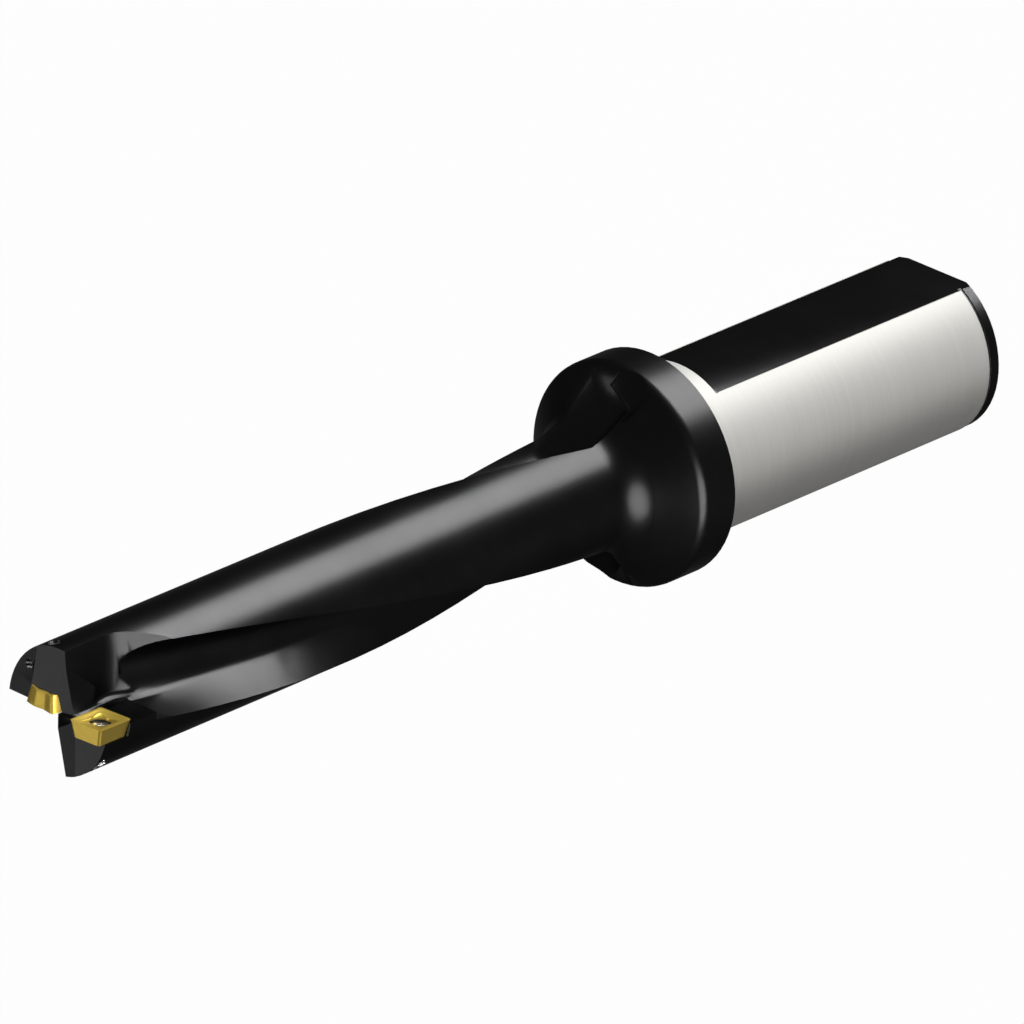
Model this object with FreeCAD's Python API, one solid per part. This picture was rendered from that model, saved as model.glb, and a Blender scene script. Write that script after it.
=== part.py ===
import FreeCAD, Part
import math
import os

# Indexable drill with two inserts, standing on its shank end.
# Origin: centre of the shank's end face.  +Z runs along the axis to the tip.
# +X points to the peripheral insert, +Y is the outward normal of the shank flat.
# Millimetres and degrees.

# shank
shank_d = 25.0
shank_l = 56.0
flat_height = 10.5            # axis to flat
flat_end_gap = 5.6            # flange back to the end of the flat
flat_corner_r = 1.5
groove_z = 2.0                # lower edge of the groove above the end face
groove_w = 0.55
groove_depth = 0.35
end_ring_inset = 0.1          # radius lost on the end ring
end_chamfer = 0.6

# flange
flange_d = 32.0
flange_rim = 5.0
flange_edge_r = 2.0
neck_r = 6.0
neck_z = 14.75                # flange back to the start of the neck fillet

# fluted body
body_d = 17.76
body_l = 110.6                # flange back to the body's end face
cutting_d = 18.5
lead = 290.0
flute_tip_angle = 26.7        # middle of flute 1 where its helix ends
flute_tip_gap = 9.6           # helix end to the body's end face
flute_low_angle = 34.5        # flute's middle to its lower edge
flute_high_angle = 34.5       # to the upper edge, behind the peripheral insert
wide_high_angle = 44.0        # to the upper edge, behind the central insert
web_half = 2.5                # axis to the deepest line of a flute
flute_r = 4.7                 # round bottom
flute_root_r = 1.8            # tighter corner before the lower wall
flute_root_turn = 203.0

# flute run-out through the flange
runout_z = 15.0               # above the flange back
runout_slope = 1.0
runout_turn = -27.0           # plan direction of the ramp, from the flute's middle
runout_floor = 6.5
exit_turn = -42.0
exit_bottom = 5.5
exit_r = 3.6
exit_centre = 6.1             # trough's centre to the axis where the ramp starts

# gashes at the tip, one per insert
gash_back = 7.6               # straight wall, back from the end face
gash_r = 6.0
gash_lead_out = 31.0
gash_floor_drop = 0.1         # floor below the axis plane
gash_rim_x = 1.0              # peripheral side: wall at the rim
gash_root_x = 2.2             # peripheral side: wall at the floor
second_gash_inset = 0.8       # deeper than the wall at the floor
second_gash_fillet = 0.9      # along its floor
centre_rim_x = -2.0           # central side: wall at the rim
centre_root_x = -0.42         # central side: upright wall beside the insert
centre_upright = 2.3          # height of that wall above the floor

# end face facets
upper_drop = 0.2              # upper half below the lower lobe's tip
upper_fall = 2.4
crown_x = -5.15               # edge of the raised crown beside the central insert
crown_turn = 8.0
crown_fall = 6.0
web_facet_x = -0.62
web_facet_y = 2.2
web_facet_turn = 14.0
web_facet_fall = 14.0
lobe_facet_x = 3.65
lobe_facet_fall = 5.0

# inserts
insert_t = 2.4
insert_relief = 11.0
insert_corner_r = 0.4
insert_land = 0.32
breaker_depth = 0.28
breaker_slope_w = 0.45
peripheral_w = 5.3            # along the radius
peripheral_h = 6.2            # along the axis
peripheral_y = 0.75           # rake height at the cutting corner
peripheral_tip = 0.9          # cutting corner ahead of the body's end face
peripheral_tilt = 4.2
peripheral_turn = 5.0
central_side = 5.6
central_y = -0.2
central_tip = 0.6
central_tilt = 1.5
central_step = 0.2            # height of the waves in the central edge
seat_gap = 0.06               # insert side to pocket wall
pocket_relief_r = 0.45
pocket_open = 0.3             # pocket's tool above the rake plane

# insert screws
screw_d = 2.0
screw_head_d = 2.9
screw_head_h = 0.3
screw_cone = 60.0
peripheral_engage = 4.0       # thread below the insert's seat
central_engage = 5.75
screw_gap = 0.03
head_sink = 0.9               # head top below the cutting edge
hole_gap = 0.15               # insert hole around the thread
sink_gap = 0.07               # countersink around the head
socket_r = 0.7                # star socket: corner to centre
socket_waist = 0.5            # star socket: hollow to centre
socket_depth = 0.6

# coolant
inlet_d = 9.0
inlet_depth = 40.0
core_d = 2.6
core_stop = 15.0              # core bore ends behind the body's end face
jet_d = 1.2
jet_upper = (-6.0, 4.85, 0.0)  # exit on the end face
jet_lower = (-1.3, -3.6, 12.1)  # exit in the central gash, below the end face

V = FreeCAD.Vector
Z_AXIS = V(0, 0, 1)
body_r = body_d / 2
body_end = shank_l + body_l
flute_end = body_end - flute_tip_gap
flute_start = shank_l + runout_z
cut_reach = 40.0


def turned(shape, angle, centre=V(0, 0, 0), axis=Z_AXIS):
    copy = shape.copy()
    copy.rotate(centre, axis, angle)
    return copy


def polar(radius, angle, z=0.0):
    a = math.radians(angle)
    return V(radius * math.cos(a), radius * math.sin(a), z)


def box(x0, x1, y0, y1, z0, z1):
    return Part.makeBox(x1 - x0, y1 - y0, z1 - z0, V(x0, y0, z0))


def face_of(edges):
    return Part.Face(Part.Wire(edges))


def polygon_face(points):
    return Part.Face(Part.makePolygon(points + [points[0]]))


# body of revolution: shank, flange and neck
def neck_angle():
    """Angle at which the edge round, a straight cone and the neck fillet join."""
    rise = flange_d / 2 - body_r
    run = neck_z - flange_rim
    radii = neck_r + flange_edge_r
    low, high = 0.1, 1.55
    for _ in range(60):
        a = (low + high) / 2
        cone = (run - radii * math.sin(a)) / math.cos(a)
        climb = radii * (1 - math.cos(a)) + cone * math.sin(a)
        if climb > rise:
            high = a
        else:
            low = a
    return (low + high) / 2


def blank():
    a = neck_angle()
    half = a / 2
    ring_r = shank_d / 2 - end_ring_inset
    groove_r = shank_d / 2 - groove_depth
    groove_top = groove_z + groove_w
    rim_r = flange_d / 2
    rim_z = shank_l + flange_rim
    neck_top = shank_l + neck_z
    edge_mid = V(rim_r - flange_edge_r * (1 - math.cos(half)), 0, rim_z + flange_edge_r * math.sin(half))
    edge_end = V(rim_r - flange_edge_r * (1 - math.cos(a)), 0, rim_z + flange_edge_r * math.sin(a))
    neck_mid = V(body_r + neck_r * (1 - math.cos(half)), 0, neck_top - neck_r * math.sin(half))
    neck_end = V(body_r + neck_r * (1 - math.cos(a)), 0, neck_top - neck_r * math.sin(a))
    points = [
        V(0, 0, 0),
        V(ring_r - end_chamfer, 0, 0),
        V(ring_r, 0, end_chamfer),
        V(ring_r, 0, groove_z),
        V(groove_r, 0, groove_z),
        V(groove_r, 0, groove_top),
        V(shank_d / 2, 0, groove_top),
        V(shank_d / 2, 0, shank_l - flat_end_gap),
        V(shank_d / 2, 0, shank_l),
        V(rim_r, 0, shank_l),
        V(rim_r, 0, rim_z),
    ]
    edges = [Part.makeLine(p, q) for p, q in zip(points, points[1:])]
    edges.append(Part.Arc(points[-1], edge_mid, edge_end).toShape())
    edges.append(Part.makeLine(edge_end, neck_end))
    edges.append(Part.Arc(neck_end, neck_mid, V(body_r, 0, neck_top)).toShape())
    edges.append(Part.makeLine(V(body_r, 0, neck_top), V(body_r, 0, body_end)))
    edges.append(Part.makeLine(V(body_r, 0, body_end), V(0, 0, body_end)))
    edges.append(Part.makeLine(V(0, 0, body_end), V(0, 0, 0)))
    solid = face_of(edges).revolve(V(0, 0, 0), Z_AXIS, 360)
    return turned(solid, 90)


def shank_flat():
    half_chord = math.sqrt((shank_d / 2) ** 2 - flat_height ** 2)
    reach = half_chord + 0.35
    top = shank_l - flat_end_gap
    cutter = box(-reach, reach, flat_height, shank_d, -1, top)
    corners = [e for e in cutter.Edges if is_top_corner(e, top)]
    return cutter.makeFillet(flat_corner_r, corners)


def is_top_corner(edge, top):
    ends = [v.Point for v in edge.Vertexes]
    return all(abs(p.z - top) < 1e-6 for p in ends) and abs(ends[0].x - ends[1].x) < 1e-6


# flutes, drawn with their middle along +x
def flute_arc(high):
    """Radius and centre of the round bottom for an upper edge at the angle high."""
    ceiling = body_r * math.sin(math.radians(high))
    extra = ceiling - body_r * math.sin(math.radians(flute_high_angle))
    radius = flute_r + extra / 2
    return radius, V(web_half + radius, ceiling - radius, 0)


def flute_profile(reach, high):
    """Flat ceiling, round bottom, tighter root corner, straight lower wall, closed at x = reach."""
    radius, centre = flute_arc(high)
    ceiling = centre.y + radius
    lower = polar(body_r, -flute_low_angle)
    root = centre + polar(radius - flute_root_r, flute_root_turn)
    joint = centre + polar(radius, flute_root_turn)
    way = lower - root
    swing = math.degrees(math.acos(flute_root_r / way.Length))
    end_turn = math.degrees(math.atan2(way.y, way.x)) - swing
    root_end = root + polar(flute_root_r, end_turn)
    root_mid = root + polar(flute_root_r, (flute_root_turn - 360 + end_turn) / 2)
    slope = (lower.y - root_end.y) / (lower.x - root_end.x)
    far_low = V(reach, lower.y + slope * (reach - lower.x), 0)
    top = V(centre.x, ceiling, 0)
    far_high = V(reach, ceiling, 0)
    bottom_mid = centre + polar(radius, (90 + flute_root_turn) / 2)
    edges = [
        Part.makeLine(far_high, top),
        Part.Arc(top, bottom_mid, joint).toShape(),
        Part.Arc(joint, root_mid, root_end).toShape(),
        Part.makeLine(root_end, far_low),
        Part.makeLine(far_low, far_high),
    ]
    return Part.Wire(edges)


def flute_angle(z):
    return flute_tip_angle - (flute_end - z) * 360.0 / lead


def helix_cut(high):
    spine = Part.Wire(Part.makeHelix(lead, flute_end - flute_start, web_half + flute_r))
    sweep = spine.makePipeShell([flute_profile(body_r * 1.35, high)], True, True)
    sweep = turned(sweep, flute_angle(flute_start))
    sweep.translate(V(0, 0, flute_start))
    return sweep


def runout_cut(high):
    angle = flute_angle(flute_start)
    drop = runout_z - runout_floor
    section = Part.Face(flute_profile(flange_d * 0.9, high))
    section.rotate(V(0, 0, 0), Z_AXIS, angle)
    section.translate(V(0, 0, flute_start))
    way = polar(runout_slope * drop, angle + runout_turn, -drop)
    ramp = section.extrude(way)
    axis_z = exit_bottom + exit_r
    knee = polar(exit_centre, angle, flute_start)
    knee += polar(runout_slope * (runout_z - axis_z), angle + runout_turn, axis_z - runout_z)
    out = polar(1, angle + exit_turn)
    return [ramp, Part.makeCylinder(exit_r, flange_d / 2, knee, out)]


# tip gashes
def gash_outline(x0, arc_back, z_top):
    """Wall at x0, an arc, then a straight lead-out, in the XZ plane."""
    z_arc = body_end - gash_back
    a = math.radians(gash_lead_out)
    far = body_r * 1.4
    arc_end = V(x0 + gash_r * (1 - math.cos(a)), 0, z_arc - gash_r * math.sin(a))
    arc_mid = V(x0 + gash_r * (1 - math.cos(a / 2)), 0, z_arc - gash_r * math.sin(a / 2))
    lead_end = V(far, 0, arc_end.z - (far - arc_end.x) / math.tan(a))
    arc_top = V(x0 + gash_r - math.sqrt(gash_r ** 2 - arc_back ** 2), 0, z_arc + arc_back)
    corner = V(arc_top.x, 0, z_top)
    edges = [Part.makeLine(corner, arc_top)]
    if arc_back > 0:
        edges.append(Part.Arc(arc_top, V(x0, 0, z_arc), arc_end).toShape())
    else:
        edges.append(Part.Arc(arc_top, arc_mid, arc_end).toShape())
    edges.append(Part.makeLine(arc_end, lead_end))
    edges.append(Part.makeLine(lead_end, V(far, 0, z_top)))
    edges.append(Part.makeLine(V(far, 0, z_top), corner))
    return face_of(edges)


def gash(rim_x, root_x, upright):
    """Upright wall over the floor, then a wall that leans to rim_x at the rim."""
    z_top = body_end + 5
    face = gash_outline(root_x, 0, z_top)
    face.translate(V(0, -gash_floor_drop, 0))
    climb = body_r + gash_floor_drop - upright
    way = V(rim_x - root_x, climb, 0) * 1.15
    if upright == 0:
        return [face.extrude(way)]
    low = face.extrude(V(0, upright, 0))
    face.translate(V(0, upright, 0))
    return [low, face.extrude(way)]


def second_gash():
    arc_back = gash_back / 2
    z_top = body_end - gash_back + arc_back + 0.5
    face = gash_outline(gash_root_x - second_gash_inset, arc_back, z_top)
    face.translate(V(0, -gash_floor_drop, 0))
    tool = face.extrude(V(0, body_r * 1.15, 0))
    foot = [e for e in tool.Edges if is_foot(e, z_top)]
    return tool.makeFillet(second_gash_fillet, foot)


def is_foot(edge, z_top):
    """Edges along the floor, without the two that lie outside the body."""
    ends = [v.Point for v in edge.Vertexes]
    on_floor = all(abs(p.y + gash_floor_drop) < 1e-6 for p in ends)
    beyond = all(p.x > body_r for p in ends)
    on_top = all(abs(p.z - z_top) < 1e-6 for p in ends)
    return on_floor and not beyond and not on_top


# end face
def tilted_cut(x0, y0, turn, fall, z0):
    """Half space above a plane that falls away to +x of a line through (x0, y0)."""
    cut = box(0, cut_reach, -cut_reach, cut_reach, 0, cut_reach)
    cut.rotate(V(0, 0, 0), V(0, 1, 0), fall)
    cut.rotate(V(0, 0, 0), Z_AXIS, turn)
    cut.translate(V(x0, y0, z0))
    return cut


def upper_cut():
    cut = box(-cut_reach, cut_reach, 0, cut_reach, 0, cut_reach)
    cut.rotate(V(0, 0, 0), V(1, 0, 0), -upper_fall)
    cut.translate(V(0, 0, body_end - upper_drop))
    return cut


def crown_cut():
    cut = box(-cut_reach, 0, 0, cut_reach, 0, cut_reach)
    cut.rotate(V(0, 0, 0), V(1, 0, 0), -crown_fall)
    cut.translate(V(0, 0, body_end - upper_drop))
    side = box(-cut_reach, 0, -cut_reach, cut_reach, -1, cut_reach)
    side.rotate(V(0, 0, 0), Z_AXIS, -crown_turn)
    side.translate(V(crown_x, 0, body_end - 4))
    return cut.common(side)


def web_cut():
    height = body_end - upper_drop - web_facet_y * math.tan(math.radians(upper_fall))
    cut = tilted_cut(web_facet_x, web_facet_y, -web_facet_turn, web_facet_fall, height)
    upper = box(-body_r, body_r, -gash_floor_drop, body_r * 1.2, body_end - 4, body_end + cut_reach)
    return cut.common(upper)


def lobe_cut():
    cut = tilted_cut(lobe_facet_x, 0, 0, lobe_facet_fall, body_end)
    lower = box(-body_r, body_r * 1.2, -body_r * 1.2, -gash_floor_drop, body_end - 4, body_end + cut_reach)
    return cut.common(lower)


# inserts, in their own frame: rake plane z = 0, cutting corner at +x, -y
def plate_outline(width, height, z, corner):
    solid = Part.makeBox(width, height, 1, V(-width / 2, -height / 2, z))
    posts = [e for e in solid.Edges if abs(e.Vertexes[0].Z - e.Vertexes[-1].Z) > 0.5]
    if corner > 0:
        solid = solid.makeFillet(corner, posts)
    low = [f for f in solid.Faces if abs(f.CenterOfMass.z - z) < 1e-6]
    return low[0].OuterWire


def waved_outline(side, z):
    """Square whose four edges each carry two shallow waves."""
    h = side / 2
    s = central_step
    edge = [
        (-h + 1.75 * s, -h + 0.5 * s),
        (-0.68 * h, -h),
        (-0.22 * h, -h + s),
        (0.37 * h, -h + 0.1 * s),
        (0.78 * h, -h + s),
    ]
    points = []
    for k in range(4):
        for x, y in edge:
            points.append(turned_point(x, y, 90.0 * k, z))
    return Part.makePolygon(points + [points[0]])


def turned_point(x, y, angle, z):
    a = math.radians(angle)
    return V(x * math.cos(a) - y * math.sin(a), x * math.sin(a) + y * math.cos(a), z)


def insert_bore():
    sink_r = screw_head_d / 2 + sink_gap
    hole_r = screw_d / 2 + hole_gap
    slope = math.tan(math.radians(screw_cone / 2))
    z1 = -(head_sink + screw_head_h)
    z2 = z1 - (sink_r - hole_r) / slope
    points = [
        V(0, 0, 1),
        V(sink_r, 0, 1),
        V(sink_r, 0, z1),
        V(hole_r, 0, z2),
        V(hole_r, 0, -insert_t - 1),
        V(0, 0, -insert_t - 1),
    ]
    return polygon_face(points).revolve(V(0, 0, 0), Z_AXIS, 360)


def breaker(width, height):
    """Groove floor with a slope up to the land along the edges."""
    step = 2 * breaker_slope_w
    outer = 2 * insert_land
    lean = step / breaker_depth * 0.1
    top = plate_outline(width - outer + lean, height - outer + lean, 0.1, 0)
    low = plate_outline(width - outer - step, height - outer - step, -breaker_depth, 0)
    return Part.makeLoft([low, top], True, True)


def shrink(depth):
    return 2 * depth * math.tan(math.radians(insert_relief))


def peripheral_insert():
    less = shrink(insert_t)
    top = plate_outline(peripheral_w, peripheral_h, 0, insert_corner_r)
    low = plate_outline(peripheral_w - less, peripheral_h - less, -insert_t, insert_corner_r)
    plate = Part.makeLoft([low, top], True, True)
    return plate.cut(breaker(peripheral_w, peripheral_h)).cut(insert_bore())


def central_insert():
    top = waved_outline(central_side, 0)
    low = waved_outline(central_side - shrink(insert_t), -insert_t)
    plate = Part.makeLoft([low, top], True, True)
    inner = central_side - 4 * central_step
    return plate.cut(breaker(inner, inner)).cut(insert_bore())


def peripheral_frame():
    tilt = math.radians(peripheral_tilt)
    corner_x = math.sqrt((cutting_d / 2) ** 2 - peripheral_y ** 2)
    rake = V(0, math.cos(tilt), -math.sin(tilt))
    seat = FreeCAD.Rotation(V(1, 0, 0), V(0, 0, 0), rake, "ZXY")
    spin = FreeCAD.Rotation(Z_AXIS, peripheral_turn)
    rotation = seat.multiply(spin)
    corner = V(corner_x, peripheral_y, body_end + peripheral_tip)
    offset = V(peripheral_w / 2, -peripheral_h / 2, 0)
    return FreeCAD.Placement(corner - rotation.multVec(offset), rotation)


def central_frame():
    tilt = math.radians(central_tilt)
    rake = V(0, -math.cos(tilt), -math.sin(tilt))
    rotation = FreeCAD.Rotation(V(-1, 0, 0), V(0, 0, 0), rake, "ZXY")
    inner_x = -centre_root_x - seat_gap
    h = central_side / 2
    corner = V(inner_x, central_y, body_end + central_tip)
    return FreeCAD.Placement(corner - rotation.multVec(V(-h, -h, 0)), rotation)


def placed(shape, placement):
    moved = shape.copy()
    moved.transformShape(placement.toMatrix(), True)
    return moved


def pocket(width, height):
    """Insert's envelope with the seat gap, open towards the tip and above the rake."""
    less = shrink(insert_t) - 2 * seat_gap
    more = shrink(pocket_open) + 2 * seat_gap
    low = plate_outline(width - less, height - less, -insert_t, 0)
    top = plate_outline(width + more, height + more, pocket_open, 0)
    cut = Part.makeLoft([low, top], True, True)
    half_w = (width - less) / 2
    half_h = (height - less) / 2
    front = box(-half_w, half_w, -half_h - 4, 0, -insert_t, pocket_open)
    notch = Part.makeCylinder(pocket_relief_r, insert_t + pocket_open, V(-half_w, half_h, -insert_t))
    return cut.fuse([front, notch])


def pocket_side_opening(width, height):
    """Lets the outer wall of the peripheral pocket run out through the body."""
    less = shrink(insert_t) - 2 * seat_gap
    half_w = (width - less) / 2
    half_h = (height - less) / 2
    return box(0, half_w + 3, -half_h - 4, half_h, -insert_t, pocket_open)


def screw_hole():
    depth = insert_t + body_r * 2
    return Part.makeCylinder(screw_d / 2 + screw_gap, depth, V(0, 0, 0), V(0, 0, -1))


def screw(engage):
    head_r = screw_head_d / 2
    thread_r = screw_d / 2
    slope = math.tan(math.radians(screw_cone / 2))
    top = -head_sink
    z1 = top - screw_head_h
    z2 = z1 - (head_r - thread_r) / slope
    end = -insert_t - engage
    points = [
        V(0, 0, top),
        V(head_r, 0, top),
        V(head_r, 0, z1),
        V(thread_r, 0, z2),
        V(thread_r, 0, end),
        V(0, 0, end),
    ]
    solid = polygon_face(points).revolve(V(0, 0, 0), Z_AXIS, 360)
    return solid.cut(star_socket(top))


def star_socket(top):
    """Six-pointed star with flat flanks."""
    points = []
    for k in range(6):
        points.append(polar(socket_r, 60.0 * k, top - socket_depth))
        points.append(polar(socket_waist, 60.0 * k + 30, top - socket_depth))
    return polygon_face(points).extrude(V(0, 0, socket_depth))


# coolant
def coolant():
    cone_h = inlet_d / 2 / math.tan(math.radians(59))
    inlet = Part.makeCylinder(inlet_d / 2, inlet_depth)
    cone = Part.makeCone(inlet_d / 2, 0, cone_h, V(0, 0, inlet_depth))
    core_top = body_end - core_stop
    core = Part.makeCylinder(core_d / 2, core_top - inlet_depth, V(0, 0, inlet_depth))
    cuts = [inlet, cone, core]
    root = V(0, 0, core_top - core_d / 2)
    for x, y, below in (jet_upper, jet_lower):
        way = V(x, y, body_end - below) - root
        cuts.append(Part.makeCylinder(jet_d / 2, way.Length * 1.2, root, way))
    return cuts


def drill_body():
    solid = blank().cut(shank_flat())
    cuts = [helix_cut(flute_high_angle)] + runout_cut(flute_high_angle)
    wide = [helix_cut(wide_high_angle)] + runout_cut(wide_high_angle)
    cuts += gash(gash_rim_x, gash_root_x, 0)
    cuts.append(second_gash())
    wide += gash(centre_rim_x, centre_root_x, centre_upright)
    cuts += [turned(c, 180) for c in wide]
    for cut in cuts:
        solid = solid.cut(cut)
    for cut in (upper_cut(), crown_cut(), web_cut(), lobe_cut()):
        solid = solid.cut(cut)
    at_rim = peripheral_frame()
    at_centre = central_frame()
    solid = solid.cut(placed(pocket(peripheral_w, peripheral_h), at_rim))
    solid = solid.cut(placed(pocket_side_opening(peripheral_w, peripheral_h), at_rim))
    solid = solid.cut(placed(pocket(central_side, central_side), at_centre))
    solid = solid.cut(placed(screw_hole(), at_rim))
    solid = solid.cut(placed(screw_hole(), at_centre))
    for cut in coolant():
        solid = solid.cut(cut)
    return solid


def export(name, shape):
    solids = shape.Solids
    shape = solids[0] if len(solids) == 1 else shape
    shape.exportStep("parts/" + name + ".step")
    box_ = shape.BoundBox
    print(name, len(solids), shape.isValid(), round(shape.Volume, 3), len(shape.Faces))
    print("   ", round(box_.XMin, 3), round(box_.XMax, 3), round(box_.YMin, 3), round(box_.YMax, 3),
          round(box_.ZMin, 3), round(box_.ZMax, 3))


def main():
    os.makedirs("parts", exist_ok=True)
    at_rim = peripheral_frame()
    at_centre = central_frame()
    export("drill_body", drill_body())
    export("peripheral_insert", placed(peripheral_insert(), at_rim))
    export("central_insert", placed(central_insert(), at_centre))
    export("peripheral_insert_screw", placed(screw(peripheral_engage), at_rim))
    export("central_insert_screw", placed(screw(central_engage), at_centre))


main()
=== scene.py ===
import math

import bmesh
import bpy
import numpy as np
from mathutils import Matrix, Vector


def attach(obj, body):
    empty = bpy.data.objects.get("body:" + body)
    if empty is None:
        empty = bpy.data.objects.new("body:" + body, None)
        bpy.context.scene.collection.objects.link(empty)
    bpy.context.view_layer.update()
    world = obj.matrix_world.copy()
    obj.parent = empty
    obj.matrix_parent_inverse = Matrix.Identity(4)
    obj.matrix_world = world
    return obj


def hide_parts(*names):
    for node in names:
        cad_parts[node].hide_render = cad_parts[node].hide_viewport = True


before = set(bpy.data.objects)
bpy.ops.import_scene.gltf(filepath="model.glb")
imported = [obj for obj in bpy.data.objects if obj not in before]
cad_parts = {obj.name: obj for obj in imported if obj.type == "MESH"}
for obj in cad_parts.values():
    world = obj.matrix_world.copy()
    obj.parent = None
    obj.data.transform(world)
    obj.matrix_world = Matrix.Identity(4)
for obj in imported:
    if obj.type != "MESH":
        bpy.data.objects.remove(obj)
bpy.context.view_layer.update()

bl_info = {
    "name": "Indexable drill",
    "version": (1, 0, 0),
    "blender": (4, 5, 0),
    "location": "3D View > Sidebar > Drill",
    "description": "Dresses the packed indexable drill: finishes, insert screws and a plain studio",
    "category": "Object",
}

MM = 0.001
BODY = "root"
# points this near to a surface lie on it
NEAR = 0.02 * MM
# edges sharper than these, in degrees, stay sharp on the body, the inserts and the screws
BODY_CREASE, INSERT_CREASE, SCREW_CREASE = 22, 20, 35
# ridges of the end face and of the lands that are sharp from these degrees on
END_RIDGE, LAND_RIDGE = 2, 4
# painted shade in an insert's hole: reach of its wall from its axis, depth at which the painted
# shade starts, how fast it darkens, and the dark colour painted there
HOLE_SHADE_REACH, HOLE_SHADE_START, HOLE_SHADE_FADE = 1.6 * MM, 0.2 * MM, 3.5 / MM
HOLE_SHADE_COLOUR = (0.03, 0.028, 0.02)
# share by which the chipbreaker's slopes lean towards the rake's axis
BREAKER_LEAN = 0.6
# insert, its copy, its screw, the side its rake faces and the rake's tilt in degrees
SCREWED = (
    ("peripheral_insert", "outer_insert", "peripheral_insert_screw", 1, 4.2),
    ("central_insert", "inner_insert", "central_insert_screw", -1, 1.5),
)
# highlights on glossy surfaces: name, direction, strength and width in degrees
HIGHLIGHTS = (
    ("side_highlight", (0.087, 0.755, -0.65), 3.5, 41.0),
    ("edge_highlight", (0.9515, -0.2375, 0.1957), 2.57, 48.9),
    ("top_highlight", (-0.3725, -0.431, 0.82), 0.42, 38.0),
)
AIM = (0, 0, 0.09)
KEY_DIRECTION = (0.25, 0.953, 0.17)
CAMERA_PLACE = (1.3958213, 0.9621136, 1.5298645)
CAMERA_TURN = (
    (0.71344251, -0.31432220, 0.62625980),
    (0.01891761, 0.90205987, 0.43119615),
    (-0.70045836, -0.29578633, 0.64951408),
)
CAMERA_LENS, CAMERA_SENSOR = 589.8945, 36.0


class DrillFinish(bpy.types.PropertyGroup):
    """Colours and finishes of the drill's surfaces."""

    black: bpy.props.FloatVectorProperty(
        name="Black steel", description="Colour of the coated tool steel",
        subtype="COLOR", size=3, min=0, max=1, default=(0.034, 0.034, 0.0345))
    silver: bpy.props.FloatVectorProperty(
        name="Ground steel", description="Colour of the ground shank",
        subtype="COLOR", size=3, min=0, max=1, default=(0.6, 0.593, 0.565))
    gold: bpy.props.FloatVectorProperty(
        name="Gold coating", description="Colour of the coated carbide inserts",
        subtype="COLOR", size=3, min=0, max=1, default=(0.8, 0.6, 0.11))
    screw: bpy.props.FloatVectorProperty(
        name="Screw steel", description="Colour of the insert screws",
        subtype="COLOR", size=3, min=0, max=1, default=(0.75, 0.75, 0.76))
    black_roughness: bpy.props.FloatProperty(
        name="Black roughness", description="Roughness of the coated steel",
        subtype="FACTOR", min=0, max=1, default=0.3)
    black_edge: bpy.props.FloatProperty(
        name="Black edge tint", description="Brightness of the coated steel at grazing angles",
        subtype="FACTOR", min=0, max=1, default=0.5)
    silver_roughness: bpy.props.FloatProperty(
        name="Ground roughness", description="Roughness of the ground shank",
        subtype="FACTOR", min=0, max=1, default=0.6)
    silver_metal: bpy.props.FloatProperty(
        name="Ground metal",
        description="Metallic share of the ground shank; its fine scratches scatter the rest",
        subtype="FACTOR", min=0, max=1, default=0.3)
    gold_roughness: bpy.props.FloatProperty(
        name="Gold roughness", description="Roughness of the inserts",
        subtype="FACTOR", min=0, max=1, default=0.37)
    gold_metal: bpy.props.FloatProperty(
        name="Gold metal", description="Metallic share of the inserts",
        subtype="FACTOR", min=0, max=1, default=0.8)
    shank_low: bpy.props.FloatProperty(
        name="Ground from", description="Lower end of the ground shank above the end face",
        unit="LENGTH", default=2.5 * MM)
    shank_high: bpy.props.FloatProperty(
        name="Ground to", description="Upper end of the ground shank, just under the flange",
        unit="LENGTH", default=55.97 * MM)
    shank_radius: bpy.props.FloatProperty(
        name="Ground radius", description="Surfaces further out than this are ground",
        unit="LENGTH", default=12.42 * MM)
    flat_height: bpy.props.FloatProperty(
        name="Flat height", description="The shank's flat lies this far from the axis",
        unit="LENGTH", default=10.51 * MM)
    flat_end: bpy.props.FloatProperty(
        name="Flat end", description="Height of the flat's end above the end face",
        unit="LENGTH", default=50.4 * MM)


class TurnedProfile(bpy.types.PropertyGroup):
    """Profile of the turned surfaces, whose normals are worked out exactly."""

    body_radius: bpy.props.FloatProperty(
        name="Body radius", description="Radius of the fluted body",
        unit="LENGTH", default=8.88 * MM)
    shank_radius: bpy.props.FloatProperty(
        name="Shank radius", description="Radius of the shank", unit="LENGTH", default=12.5 * MM)
    flange_radius: bpy.props.FloatProperty(
        name="Flange radius", description="Radius of the flange", unit="LENGTH", default=16 * MM)
    rim_top: bpy.props.FloatProperty(
        name="Rim top", description="Height at which the flange's edge starts to round",
        unit="LENGTH", default=61 * MM)
    edge_radius: bpy.props.FloatProperty(
        name="Edge round", description="Radius of the flange's edge",
        unit="LENGTH", default=2 * MM)
    neck_top: bpy.props.FloatProperty(
        name="Neck top", description="Height at which the neck meets the body",
        unit="LENGTH", default=70.75 * MM)
    neck_radius: bpy.props.FloatProperty(
        name="Neck round", description="Radius of the neck's fillet",
        unit="LENGTH", default=6 * MM)
    ring_radius: bpy.props.FloatProperty(
        name="End ring", description="Radius of the ring at the shank's end",
        unit="LENGTH", default=12.4 * MM)
    groove_radius: bpy.props.FloatProperty(
        name="Groove radius", description="Radius of the groove's floor",
        unit="LENGTH", default=12.15 * MM)
    chamfer: bpy.props.FloatProperty(
        name="End chamfer", description="Width of the chamfer on the end ring",
        unit="LENGTH", default=0.6 * MM)
    crown_lean: bpy.props.FloatProperty(
        name="Crown lean", description="Lean of the crown's broad facet towards the web",
        subtype="ANGLE", default=math.radians(8))
    tip_start: bpy.props.FloatProperty(
        name="Tip start", description="Facets of the end face lie above this height",
        unit="LENGTH", default=155 * MM)


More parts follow.
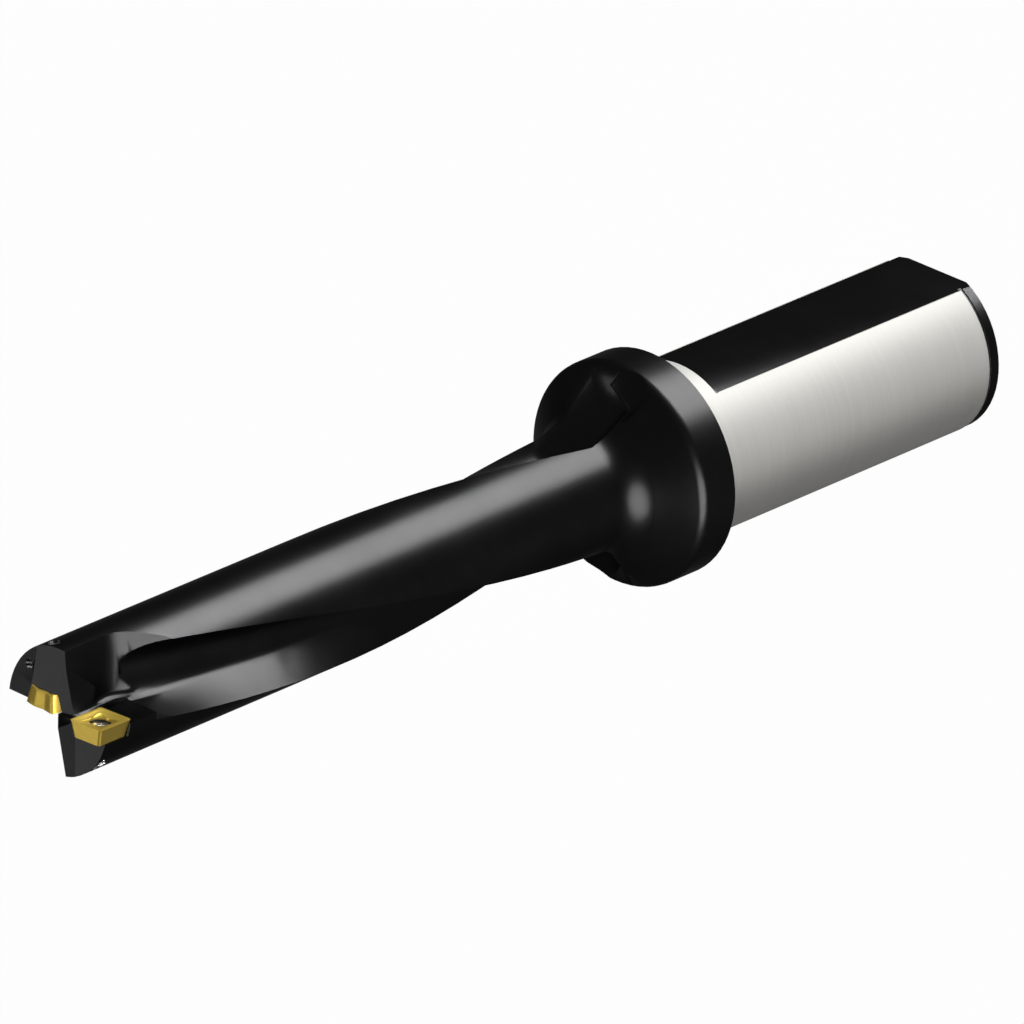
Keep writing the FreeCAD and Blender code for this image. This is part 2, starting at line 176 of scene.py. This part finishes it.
class ScrewSizes(bpy.types.PropertyGroup):
    """Sizes of the insert screws, from the head's top down."""

    head_radius: bpy.props.FloatProperty(
        name="Head radius", description="Radius of the head", unit="LENGTH", default=1.44 * MM)
    thread_radius: bpy.props.FloatProperty(
        name="Thread radius", description="Radius over the thread",
        unit="LENGTH", default=0.99 * MM)
    thread_depth: bpy.props.FloatProperty(
        name="Thread depth", description="Height of the thread's ridge",
        unit="LENGTH", default=0.14 * MM)
    pitch: bpy.props.FloatProperty(
        name="Pitch", description="Rise of the thread per turn", unit="LENGTH", default=0.4 * MM)
    head_height: bpy.props.FloatProperty(
        name="Head height", description="Straight part of the head",
        unit="LENGTH", default=0.3 * MM)
    socket_radius: bpy.props.FloatProperty(
        name="Socket radius", description="Mean radius of the six-lobed socket",
        unit="LENGTH", default=0.6 * MM)
    socket_lobe: bpy.props.FloatProperty(
        name="Socket lobe", description="How far the lobes stand out and in",
        unit="LENGTH", default=0.11 * MM)
    socket_depth: bpy.props.FloatProperty(
        name="Socket depth", description="Depth of the socket",
        unit="LENGTH", default=0.58 * MM)
    shaft_rows: bpy.props.IntProperty(
        name="Shaft rows", description="Rings of points along the thread", min=8, default=110)
    gap: bpy.props.FloatProperty(
        name="Gap", description="Gap under the screw's end", unit="LENGTH", default=0.02 * MM)


class StudioSettings(bpy.types.PropertyGroup):
    """Floor, lamps and world."""

    floor_size: bpy.props.FloatProperty(
        name="Floor size", description="Side of the floor", unit="LENGTH", default=12.0)
    floor_colour: bpy.props.FloatVectorProperty(
        name="Floor colour", description="Colour of the floor",
        subtype="COLOR", size=3, min=0, max=1, default=(0.86, 0.86, 0.86))
    floor_white: bpy.props.FloatProperty(
        name="Floor white", description="Share of plain white that the camera sees in the floor",
        subtype="FACTOR", min=0, max=1, default=0.98)
    floor_gap: bpy.props.FloatProperty(
        name="Floor gap", description="Gap between the floor and the shank's end",
        unit="LENGTH", default=0.02 * MM)
    key_power: bpy.props.FloatProperty(
        name="Key power", description="Power of the key lamp", unit="POWER", min=0, default=42.0)
    key_size: bpy.props.FloatProperty(
        name="Key size", description="Side of the key lamp", unit="LENGTH", default=0.8)
    key_distance: bpy.props.FloatProperty(
        name="Key distance", description="Distance of the key lamp", unit="LENGTH", default=2.0)
    plain_light: bpy.props.FloatProperty(
        name="Plain light", description="World's strength on matt surfaces", min=0, default=0.12)
    room: bpy.props.FloatProperty(
        name="Room", description="World's strength in reflections", min=0, default=0.108)
    highlights: bpy.props.FloatProperty(
        name="Highlights", description="Strength of the highlights on glossy surfaces",
        min=0, default=1.0)


# geometry helpers
def link(name, mesh):
    piece = bpy.data.objects.new(name, mesh)
    bpy.context.scene.collection.objects.link(piece)
    return piece


def grid_mesh(name, points, closed_u):
    """Mesh over a grid of points[v, u]; closed_u joins the last column to the first."""
    rows, columns = points.shape[:2]
    index = np.arange(rows * columns).reshape(rows, columns)
    right = np.roll(index, -1, axis=1) if closed_u else index[:, 1:]
    left = index if closed_u else index[:, :-1]
    quads = np.stack([left[:-1], right[:-1], right[1:], left[1:]], axis=-1).reshape(-1, 4)
    mesh = bpy.data.meshes.new(name)
    mesh.from_pydata(points.reshape(-1, 3).tolist(), [], quads.tolist())
    mesh.update()
    return mesh


def clean(mesh, distance):
    """Merges doubles, drops the flattened faces at the poles and turns every face outwards."""
    work = bmesh.new()
    work.from_mesh(mesh)
    bmesh.ops.remove_doubles(work, verts=work.verts, dist=distance)
    bmesh.ops.dissolve_degenerate(work, edges=work.edges, dist=distance)
    bmesh.ops.recalc_face_normals(work, faces=work.faces)
    work.to_mesh(mesh)
    work.free()


def smooth(mesh, angle):
    mesh.shade_smooth()
    mesh.set_sharp_from_angle(angle=math.radians(angle))


def coordinates(mesh):
    points = np.empty(len(mesh.vertices) * 3)
    mesh.vertices.foreach_get("co", points)
    return points.reshape(-1, 3)


def corner_normals(mesh):
    normals = np.empty(len(mesh.loops) * 3)
    mesh.corner_normals.foreach_get("vector", normals)
    return normals.reshape(-1, 3)


def profile_normals(radius, height, profile):
    """Radial and axial part of the normal for points on the turned profile, and whether they
    lie on it: straight cylinders, a convex and a concave quarter round, each told by its
    distance to its centre."""
    radial, axial = np.zeros_like(radius), np.zeros_like(radius)
    for size in (profile.body_radius, profile.shank_radius, profile.flange_radius,
                 profile.ring_radius, profile.groove_radius):
        radial[np.abs(radius - size) < NEAR] = 1
    edge = profile.flange_radius - profile.edge_radius, profile.rim_top, profile.edge_radius, 1
    neck = profile.body_radius + profile.neck_radius, profile.neck_top, profile.neck_radius, -1
    for x, z, size, side in (edge, neck):
        across, along = (radius - x) * side, (height - z) * side
        inside = (np.abs(np.hypot(across, along) - size) < NEAR) & (across > 0) & (along >= 0)
        radial[inside], axial[inside] = across[inside] / size, along[inside] / size
    return radial, axial, radial + axial > 0


def turned_normals(mesh, profile):
    """Gives the corners on turned surfaces the normals of the true round form."""
    points = coordinates(mesh)
    corners = np.empty(len(mesh.loops), int)
    mesh.loops.foreach_get("vertex_index", corners)
    sides = np.empty(len(mesh.polygons), int)
    mesh.polygons.foreach_get("loop_total", sides)
    faces = np.repeat(np.arange(len(sides)), sides)
    flat = np.empty(len(sides) * 3)
    mesh.polygons.foreach_get("normal", flat)
    flat = flat.reshape(-1, 3)[faces]
    normals = corner_normals(mesh)
    place = points[corners]
    radius = np.hypot(place[:, 0], place[:, 1])
    radial, axial, known = profile_normals(radius, place[:, 2], profile)
    way = place[:, :2] / np.maximum(radius, 1e-9)[:, None]
    true = np.stack([way[:, 0] * radial, way[:, 1] * radial, axial], -1)
    fits = known & ((true * flat).sum(1) > 0.9)
    start = profile.ring_radius - profile.chamfer
    slope = (flat[:, 2] < -0.5) & (flat[:, 2] > -0.9)
    bevel = slope & (np.abs(radius - start - place[:, 2]) < NEAR)
    true[bevel] = np.concatenate([way, -np.ones((len(way), 1))], 1)[bevel] * math.sqrt(0.5)
    fits |= bevel
    missed = np.zeros(len(sides))
    np.add.at(missed, faces, ~fits)
    chosen = missed[faces] == 0
    normals[chosen] = true[chosen]
    mesh.normals_split_custom_set(normals.tolist())


def crisp_edges(mesh, profile):
    """Marks shallow edges as sharp: the ridges between the flat facets of the end face, and
    the edges between the body's round lands and its flutes."""
    def on_land(face):
        return all(abs(math.hypot(vert.co.x, vert.co.y) - profile.body_radius) < NEAR
                   for vert in face.verts)

    work = bmesh.new()
    work.from_mesh(mesh)
    for edge in work.edges:
        if len(edge.link_faces) != 2:
            continue
        a, b = edge.link_faces
        angle = math.degrees(a.normal.angle(b.normal, 0))
        ridge = (min(vert.co.z for vert in edge.verts) > profile.tip_start
                 and min(a.normal.z, b.normal.z) > 0.9)
        border = on_land(a) != on_land(b)
        if (ridge and angle > END_RIDGE) or (border and angle > LAND_RIDGE):
            edge.smooth = False
    work.to_mesh(mesh)
    work.free()


def weigh_normals(piece):
    """Corner normals weighed by face size, so that flat faces stay flat beside their rounds."""
    modifier = piece.modifiers.new("weigh", "WEIGHTED_NORMAL")
    modifier.keep_sharp = True
    modifier.weight = 100
    weighed = piece.evaluated_get(bpy.context.evaluated_depsgraph_get())
    mesh = bpy.data.meshes.new_from_object(weighed)
    piece.modifiers.remove(modifier)
    mesh.name = piece.name
    piece.data = mesh


def lean_normals(mesh, chosen, lean):
    """Leans the shading, not the shape: puts the chosen faces' corner normals through lean."""
    normals = corner_normals(mesh)
    for face in mesh.polygons:
        if chosen(face):
            for corner in face.loop_indices:
                normals[corner] = lean(Vector(normals[corner])).normalized()
    mesh.normals_split_custom_set(normals.tolist())


def lean_crown(mesh, profile):
    """Leans the crown's broad facet, which falls towards the web, by a few degrees."""
    across, along = math.sin(profile.crown_lean), math.cos(profile.crown_lean)
    lean_normals(
        mesh,
        lambda face: (face.center.z > profile.tip_start and face.normal.z > 0.99
                      and abs(face.normal.x) < 0.01 and 0.02 < face.normal.y < 0.06),
        lambda normal: Vector((across, normal.y, along)))


def lean_breaker(mesh, axis):
    """Leans the chipbreaker's slopes towards the rake's axis."""
    axis = Vector(axis)
    lean_normals(
        mesh,
        lambda face: 0.6 < face.normal.dot(axis) < 0.97,
        lambda normal: normal.lerp(axis, BREAKER_LEAN))


def cad_mesh(node):
    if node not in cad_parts:
        raise RuntimeError("the frame has no node " + node)
    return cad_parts[node].data


def merged_copy(node, name, angle):
    """A joined, smooth-shaded copy of a CAD node, which it stands for."""
    mesh = cad_mesh(node).copy()
    mesh.name = name
    mesh.materials.clear()
    work = bmesh.new()
    work.from_mesh(mesh)
    bmesh.ops.remove_doubles(work, verts=work.verts, dist=1e-6)
    work.to_mesh(mesh)
    work.free()
    mesh.validate()
    smooth(mesh, angle)
    piece = link(name, mesh)
    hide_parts(node)
    return piece


def settle(piece, material):
    piece.data.materials.clear()
    piece.data.materials.append(material)
    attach(piece, BODY)


# shader groups
def new_group(name, inputs, outputs):
    group = bpy.data.node_groups.new(name, "ShaderNodeTree")
    for label, kind, value in inputs:
        socket = group.interface.new_socket(name=label, in_out="INPUT", socket_type=kind)
        if value is not None:
            socket.default_value = value
    for label, kind in outputs:
        group.interface.new_socket(name=label, in_out="OUTPUT", socket_type=kind)
    start = group.nodes.new("NodeGroupInput")
    end = group.nodes.new("NodeGroupOutput")
    return group, start.outputs, end.inputs


def math_node(tree, operation, a, b=None, c=None, clamp=False):
    node = tree.nodes.new("ShaderNodeMath")
    node.operation = operation
    node.use_clamp = clamp
    for socket, value in zip(node.inputs, (a, b, c)):
        if value is None:
            continue
        if isinstance(value, bpy.types.NodeSocket):
            tree.links.new(value, socket)
        else:
            socket.default_value = value
    return node.outputs[0]


def noise(tree, vector, scale, detail, rough=0.5):
    node = tree.nodes.new("ShaderNodeTexNoise")
    node.inputs["Detail"].default_value = detail
    node.inputs["Roughness"].default_value = rough
    if isinstance(scale, bpy.types.NodeSocket):
        tree.links.new(scale, node.inputs["Scale"])
    else:
        node.inputs["Scale"].default_value = scale
    tree.links.new(vector, node.inputs["Vector"])
    return node.outputs["Fac"]


def scaled(tree, vector, scale):
    node = tree.nodes.new("ShaderNodeVectorMath")
    node.operation = "MULTIPLY"
    tree.links.new(vector, node.inputs[0])
    node.inputs[1].default_value = scale
    return node.outputs[0]


def grain_group():
    """Fine satin grain with broad, faint stains: two noises added."""
    group, given, out = new_group(
        "satin_grain",
        [("Vector", "NodeSocketVector", None), ("Grain Scale", "NodeSocketFloat", 9000.0),
         ("Stain Scale", "NodeSocketFloat", 90.0)],
        [("Grain", "NodeSocketFloat"), ("Stain", "NodeSocketFloat")])
    group.links.new(noise(group, given["Vector"], given["Grain Scale"], 3.0), out["Grain"])
    group.links.new(noise(group, given["Vector"], given["Stain Scale"], 4.0, 0.6), out["Stain"])
    return group


def grinding_group():
    """Rings left by grinding: noise drawn out round the axis, so it changes only along it."""
    group, given, out = new_group(
        "grinding_rings", [("Vector", "NodeSocketVector", None)],
        [("Rings", "NodeSocketFloat"), ("Scratches", "NodeSocketFloat")])
    fine = scaled(group, given["Vector"], (120.0, 120.0, 14000.0))
    coarse = scaled(group, given["Vector"], (30.0, 30.0, 2600.0))
    group.links.new(noise(group, fine, 1.0, 2.0), out["Rings"])
    group.links.new(noise(group, coarse, 1.0, 3.0, 0.7), out["Scratches"])
    return group


def shank_group():
    """Mask of the ground shank: between two heights, outside a radius, below the flat."""
    group, given, out = new_group(
        "ground_shank",
        [("Vector", "NodeSocketVector", None)] + [
            (label, "NodeSocketFloat", 0.0)
            for label in ("Low", "High", "Radius", "Flat", "Flat End")],
        [("Mask", "NodeSocketFloat")])
    split = group.nodes.new("ShaderNodeSeparateXYZ")
    group.links.new(given["Vector"], split.inputs[0])
    x, y, z = split.outputs
    square = math_node(group, "MULTIPLY_ADD", x, x, math_node(group, "MULTIPLY", y, y))
    radius = math_node(group, "SQRT", square)
    above = math_node(group, "GREATER_THAN", z, given["Low"])
    below = math_node(group, "LESS_THAN", z, given["High"])
    outside = math_node(group, "GREATER_THAN", radius, given["Radius"])
    under = math_node(group, "LESS_THAN", y, given["Flat"])
    past = math_node(group, "GREATER_THAN", z, given["Flat End"])
    under = math_node(group, "MAXIMUM", under, past)
    both = math_node(group, "MULTIPLY", above, below)
    round_part = math_node(group, "MULTIPLY", outside, under)
    group.links.new(math_node(group, "MULTIPLY", both, round_part), out["Mask"])
    return group


def place_group(tree, group, values):
    node = tree.nodes.new("ShaderNodeGroup")
    node.node_tree = group
    for label, value in values.items():
        if isinstance(value, bpy.types.NodeSocket):
            tree.links.new(value, node.inputs[label])
        else:
            node.inputs[label].default_value = value
    return node.outputs


def group_named(name, make):
    return bpy.data.node_groups.get(name) or make()


def mix_colour(tree, factor, a, b):
    node = tree.nodes.new("ShaderNodeMix")
    node.data_type = "RGBA"
    tree.links.new(factor, node.inputs["Factor"])
    for socket, value in ((node.inputs[6], a), (node.inputs[7], b)):
        if isinstance(value, bpy.types.NodeSocket):
            tree.links.new(value, socket)
        else:
            socket.default_value = (*value, 1.0)
    return node.outputs[2]


def spread(tree, value, low, high):
    """Maps 0..1 to low..high."""
    return math_node(tree, "MULTIPLY_ADD", value, high - low, low)


def new_material(name):
    material = bpy.data.materials.new(name)
    material.use_nodes = True
    tree = material.node_tree
    shader = tree.nodes["Principled BSDF"]
    coordinates = tree.nodes.new("ShaderNodeTexCoord").outputs["Object"]
    return material, tree, shader, coordinates


def bump(tree, shader, height, distance, strength):
    node = tree.nodes.new("ShaderNodeBump")
    node.inputs["Strength"].default_value = strength
    node.inputs["Distance"].default_value = distance
    tree.links.new(height, node.inputs["Height"])
    tree.links.new(node.outputs["Normal"], shader.inputs["Normal"])


def body_material(finish):
    material, tree, shader, place = new_material("black_steel_ground_shank")
    grain = place_group(tree, group_named("satin_grain", grain_group), {"Vector": place})
    rings = place_group(tree, group_named("grinding_rings", grinding_group), {"Vector": place})
    shank = place_group(tree, group_named("ground_shank", shank_group), {
        "Vector": place, "Low": finish.shank_low, "High": finish.shank_high,
        "Radius": finish.shank_radius, "Flat": finish.flat_height,
        "Flat End": finish.flat_end})["Mask"]
    black = Vector(finish.black)
    silver = Vector(finish.silver)
    dark = mix_colour(tree, grain["Stain"], black * 0.75, black * 1.35)
    bright = mix_colour(tree, rings["Scratches"], silver * 0.9, silver * 1.08)
    tree.links.new(mix_colour(tree, shank, dark, bright), shader.inputs["Base Color"])
    rough = finish.black_roughness
    plain = spread(tree, grain["Stain"], rough - 0.04, rough + 0.05)
    rough = finish.silver_roughness
    ground = spread(tree, rings["Scratches"], rough - 0.06, rough + 0.06)
    step = math_node(tree, "SUBTRACT", ground, plain)
    tree.links.new(math_node(tree, "MULTIPLY_ADD", step, shank, plain), shader.inputs["Roughness"])
    tree.links.new(spread(tree, shank, 1.0, finish.silver_metal), shader.inputs["Metallic"])
    height = math_node(tree, "SUBTRACT", rings["Rings"], grain["Grain"])
    height = math_node(tree, "MULTIPLY_ADD", height, shank, grain["Grain"])
    bump(tree, shader, height, 0.004 * MM, 0.35)
    shader.inputs["Specular Tint"].default_value = (*(finish.black_edge,) * 3, 1.0)
    return material


def insert_material(finish):
    material, tree, shader, place = new_material("gold_coating_painted_hole_shade")
    grain = place_group(tree, group_named("satin_grain", grain_group), {
        "Vector": place, "Grain Scale": 14000.0, "Stain Scale": 420.0})
    gold = Vector(finish.gold)
    deep = Vector((gold.x * 0.82, gold.y * 0.74, gold.z * 0.6))
    coat = mix_colour(tree, grain["Stain"], deep, gold * 1.12)
    # painted shade: the walls of the insert's hole darken from the gold coating to a near-black
    # colour with depth below the rim
    depth = tree.nodes.new("ShaderNodeAttribute")
    depth.attribute_name = "hole_shade_depth"
    inside = math_node(tree, "MULTIPLY_ADD", depth.outputs["Fac"], HOLE_SHADE_FADE,
                       -HOLE_SHADE_START * HOLE_SHADE_FADE, clamp=True)
    tree.links.new(mix_colour(tree, inside, coat, HOLE_SHADE_COLOUR), shader.inputs["Base Color"])
    rough = finish.gold_roughness
    tree.links.new(spread(tree, grain["Stain"], rough + 0.05, rough - 0.04),
                   shader.inputs["Roughness"])
    shader.inputs["Metallic"].default_value = finish.gold_metal
    bump(tree, shader, grain["Grain"], 0.003 * MM, 0.4)
    return material


def screw_material(finish):
    material, tree, shader, place = new_material("screw_steel")
    grain = place_group(tree, group_named("satin_grain", grain_group), {
        "Vector": place, "Grain Scale": 12000.0, "Stain Scale": 700.0})
    steel = Vector(finish.screw)
    tree.links.new(mix_colour(tree, grain["Stain"], steel * 0.6, steel * 1.3),
                   shader.inputs["Base Color"])
    tree.links.new(spread(tree, grain["Stain"], 0.2, 0.34), shader.inputs["Roughness"])
    shader.inputs["Metallic"].default_value = 1.0
    bump(tree, shader, grain["Grain"], 0.003 * MM, 0.3)
    return material


# insert screw
def screw_points(sizes, length, columns=144):
    """Closed surface of a screw about -Z with its head's top at z = 0: r(angle, z) by rings.
    The socket's rings are shares of socket_radius + socket_lobe * cos(6 * angle), the thread's
    are thread_radius less thread_depth where a ridge that climbs by a pitch per turn is low."""
    angle = np.linspace(0, 2 * np.pi, columns, endpoint=False)[None, :]
    socket = sizes.socket_radius + sizes.socket_lobe * np.cos(6 * angle)
    cone_end = -sizes.head_height - (sizes.head_radius - sizes.thread_radius) * 1.7
    inner = np.array([
        (-sizes.socket_depth * 1.25, 0.0),
        (-sizes.socket_depth * 1.02, 0.82),
        (-sizes.socket_depth * 0.96, 0.96),
        (-sizes.socket_depth * 0.5, 1.0),
        (-0.07 * MM, 1.0),
        (0.0, 1.08),
    ])
    socket_z = inner[:, :1] + 0 * angle
    socket_r = inner[:, 1:] * socket
    outer = np.array([
        (0.0, sizes.head_radius - 0.1 * MM),
        (-0.03 * MM, sizes.head_radius - 0.03 * MM),
        (-0.1 * MM, sizes.head_radius),
        (-sizes.head_height, sizes.head_radius),
        (cone_end, sizes.thread_radius - sizes.thread_depth),
    ])
    outer_z = outer[:, :1] + 0 * angle
    outer_r = outer[:, 1:] + 0 * angle
    shaft = np.linspace(cone_end, -length + 0.15 * MM, sizes.shaft_rows)[:, None]
    phase = np.mod(shaft / sizes.pitch - angle / (2 * np.pi), 1.0)
    ridge = np.clip(1.6 * (1 - np.abs(2 * phase - 1)) - 0.3, 0, 1)
    fade = np.clip((cone_end - shaft) / (0.5 * sizes.pitch), 0, 1)
    shaft_r = sizes.thread_radius - sizes.thread_depth * (1 - ridge * fade)
    shaft_z = shaft + 0 * angle
    end_z = np.array([[-length], [-length]]) + 0 * angle
    end_r = np.array([[sizes.thread_radius - 0.25 * MM], [0.0]]) + 0 * angle
    z = np.concatenate([socket_z, outer_z, shaft_z, end_z])
    r = np.concatenate([socket_r, outer_r, shaft_r, end_r])
    return np.stack([r * np.cos(angle), r * np.sin(angle), z], axis=-1)


def rake_axis(side, tilt):
    """Outward normal of a rake that faces +Y or -Y and tilts by some degrees."""
    lean = math.radians(tilt)
    return 0, side * math.cos(lean), -math.sin(lean)


def screw_frame(node, axis):
    """Head's top, turned to the axis, and the length of a screw's CAD node."""
    points = coordinates(cad_mesh(node))
    axis = np.array(axis)
    reach = points @ axis
    top = reach.max()
    head = points[reach > top - NEAR]
    middle = (head.min(0) + head.max(0)) / 2
    middle = middle + (top - middle @ axis) * axis
    turn = Vector(axis).to_track_quat("Z", "Y").to_matrix().to_4x4()
    return Matrix.Translation(Vector(middle)) @ turn, top - reach.min()


def mark_hole_shade(mesh, place):
    """Vertex attribute for the painted shade in an insert's hole: depth below the hole's rim on its
    wall, else 0.
    """
    points = coordinates(mesh)
    turn = np.array(place)
    axis, top = turn[:3, 2], turn[:3, 3]
    depth = (top - points) @ axis
    across = points - top + depth[:, None] * axis
    wall = np.linalg.norm(across, axis=1) < HOLE_SHADE_REACH
    rim = depth[wall].min()
    layer = mesh.attributes.new("hole_shade_depth", "FLOAT", "POINT")
    layer.data.foreach_set("value", np.where(wall, depth - rim, 0.0).astype(np.float32))


# stage
def place_light(name, data, direction, distance):
    """Puts a light at a distance from the aim point in a direction, turned back to it."""
    light = bpy.data.objects.new(name, data)
    bpy.context.scene.collection.objects.link(light)
    light.location = Vector(AIM) + Vector(direction) * distance
    light.rotation_mode = "QUATERNION"
    light.rotation_quaternion = Vector(direction).to_track_quat("Z", "Y")
    light.visible_camera = False
    return light


def key_lamp(studio):
    """Square lamp that lights matt surfaces alone and casts the shadow."""
    data = bpy.data.lights.new("key_lamp", "AREA")
    data.shape = "SQUARE"
    data.size = studio.key_size
    data.energy = studio.key_power
    light = place_light("key_lamp", data, KEY_DIRECTION, studio.key_distance)
    light.visible_glossy = False


def highlight(name, direction, strength, angle):
    """Broad soft highlight on glossy surfaces alone, which nothing shades."""
    data = bpy.data.lights.new(name, "SUN")
    data.energy = strength
    data.angle = math.radians(angle)
    data.use_shadow = False
    data.cycles.use_multiple_importance_sampling = False
    light = place_light(name, data, direction, 0)
    light.visible_diffuse = light.visible_transmission = False


def floor_material(studio):
    """Pale floor: white to the camera, with a share of its lit colour that keeps the shadow."""
    material = bpy.data.materials.new("studio_floor")
    material.use_nodes = True
    tree = material.node_tree
    tree.nodes.clear()
    out = tree.nodes.new("ShaderNodeOutputMaterial")
    lit = tree.nodes.new("ShaderNodeBsdfDiffuse")
    place = tree.nodes.new("ShaderNodeTexCoord").outputs["Object"]
    speckle = noise(tree, place, 60.0, 3.0)
    colour = Vector(studio.floor_colour)
    tree.links.new(mix_colour(tree, speckle, colour * 0.99, colour * 1.01), lit.inputs["Color"])
    plain = tree.nodes.new("ShaderNodeEmission")
    plain.inputs["Color"].default_value = (1, 1, 1, 1)
    rays = tree.nodes.new("ShaderNodeLightPath").outputs
    seen = math_node(tree, "MAXIMUM", rays["Is Camera Ray"], rays["Is Transmission Ray"])
    mix = tree.nodes.new("ShaderNodeMixShader")
    tree.links.new(math_node(tree, "MULTIPLY", seen, studio.floor_white), mix.inputs[0])
    tree.links.new(lit.outputs[0], mix.inputs[1])
    tree.links.new(plain.outputs[0], mix.inputs[2])
    tree.links.new(mix.outputs[0], out.inputs["Surface"])
    return material


def studio_world(studio):
    """White to the camera, plain on matt surfaces and a dim room in reflections."""
    world = bpy.data.worlds.new("studio_world")
    world.use_nodes = True
    tree = world.node_tree
    back = tree.nodes["Background"]
    back.inputs["Color"].default_value = (1, 1, 1, 1)
    rays = tree.nodes.new("ShaderNodeLightPath").outputs
    step = studio.room - studio.plain_light
    strength = math_node(tree, "MULTIPLY_ADD", rays["Is Glossy Ray"], step, studio.plain_light)
    white = math_node(tree, "MAXIMUM", rays["Is Camera Ray"], rays["Is Transmission Ray"])
    tree.links.new(math_node(tree, "MAXIMUM", strength, white), back.inputs["Strength"])
    return world


class DRILL_OT_body(bpy.types.Operator):
    """Dress the drill body in coated steel with a ground shank"""

    bl_idname = "drill.body"
    bl_label = "Drill body"

    def execute(self, context):
        piece = merged_copy("drill_body", "fluted_body_with_shank", BODY_CREASE)
        profile = context.scene.drill_profile
        crisp_edges(piece.data, profile)
        turned_normals(piece.data, profile)
        lean_crown(piece.data, profile)
        settle(piece, body_material(context.scene.drill_finish))
        return {"FINISHED"}


class DRILL_OT_inserts(bpy.types.Operator):
    """Dress both inserts in their gold coating, with painted shade on the walls of their holes"""

    bl_idname = "drill.inserts"
    bl_label = "Inserts"

    def execute(self, context):
        gold = insert_material(context.scene.drill_finish)
        for node, name, screw, side, tilt in SCREWED:
            piece = merged_copy(node, name, INSERT_CREASE)
            axis = rake_axis(side, tilt)
            weigh_normals(piece)
            mark_hole_shade(piece.data, screw_frame(screw, axis)[0])
            lean_breaker(piece.data, axis)
            settle(piece, gold)
        return {"FINISHED"}


class DRILL_OT_screws(bpy.types.Operator):
    """Make the insert screws with their sockets and threads"""

    bl_idname = "drill.screws"
    bl_label = "Insert screws"

    def execute(self, context):
        steel = screw_material(context.scene.drill_finish)
        sizes = context.scene.drill_screws
        for _, _, node, side, tilt in SCREWED:
            name = node.replace("peripheral", "outer").replace("central", "inner")
            place, length = screw_frame(node, rake_axis(side, tilt))
            mesh = grid_mesh(name, screw_points(sizes, length - sizes.gap), True)
            clean(mesh, 1e-7)
            mesh.transform(place)
            smooth(mesh, SCREW_CREASE)
            piece = link(name, mesh)
            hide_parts(node)
            settle(piece, steel)
        return {"FINISHED"}


class DRILL_OT_studio(bpy.types.Operator):
    """Set up the floor, the lamps, the world and the camera"""

    bl_idname = "drill.studio"
    bl_label = "Studio"

    def execute(self, context):
        scene = context.scene
        studio = scene.drill_studio
        half = studio.floor_size / 2
        u, v = np.meshgrid(np.linspace(-half, half, 9), np.linspace(-half, half, 9))
        points = np.stack([u, v, 0 * u - studio.floor_gap], -1)
        floor = link("studio_floor", grid_mesh("studio_floor", points, False))
        floor.data.materials.append(floor_material(studio))
        floor.visible_glossy = False

        key_lamp(studio)
        for name, direction, strength, angle in HIGHLIGHTS:
            highlight(name, direction, strength * studio.highlights, angle)
        scene.world = studio_world(studio)

        data = bpy.data.cameras.new("camera")
        data.lens = CAMERA_LENS
        data.sensor_width = CAMERA_SENSOR
        data.clip_start, data.clip_end = 0.1, 30.0
        camera = bpy.data.objects.new("camera", data)
        turn = Matrix(CAMERA_TURN).to_4x4()
        camera.matrix_world = Matrix.Translation(CAMERA_PLACE) @ turn
        scene.collection.objects.link(camera)
        scene.camera = camera
        scene.view_settings.view_transform = "Standard"
        return {"FINISHED"}


class DRILL_PT_panel(bpy.types.Panel):
    """Lists the drill's steps and settings"""

    bl_label = "Indexable drill"
    bl_idname = "DRILL_PT_panel"
    bl_space_type = "VIEW_3D"
    bl_region_type = "UI"
    bl_category = "Drill"

    def draw(self, context):
        for operator in OPERATORS:
            self.layout.operator(operator.bl_idname)
        scene = context.scene
        for group in (scene.drill_finish, scene.drill_profile, scene.drill_screws,
                      scene.drill_studio):
            box = self.layout.box()
            for key in group.bl_rna.properties.keys():
                if key not in ("rna_type", "name"):
                    box.prop(group, key)


OPERATORS = (DRILL_OT_body, DRILL_OT_inserts, DRILL_OT_screws, DRILL_OT_studio)
CLASSES = (DrillFinish, TurnedProfile, ScrewSizes, StudioSettings, *OPERATORS, DRILL_PT_panel)


def register():
    for item in CLASSES:
        bpy.utils.register_class(item)
    bpy.types.Scene.drill_finish = bpy.props.PointerProperty(type=DrillFinish)
    bpy.types.Scene.drill_profile = bpy.props.PointerProperty(type=TurnedProfile)
    bpy.types.Scene.drill_screws = bpy.props.PointerProperty(type=ScrewSizes)
    bpy.types.Scene.drill_studio = bpy.props.PointerProperty(type=StudioSettings)


def unregister():
    del bpy.types.Scene.drill_studio
    del bpy.types.Scene.drill_screws
    del bpy.types.Scene.drill_profile
    del bpy.types.Scene.drill_finish
    for item in reversed(CLASSES):
        bpy.utils.unregister_class(item)


def main():
    register()
    bpy.ops.drill.body()
    bpy.ops.drill.inserts()
    bpy.ops.drill.screws()
    bpy.ops.drill.studio()


if __name__ == "__main__":
    main()
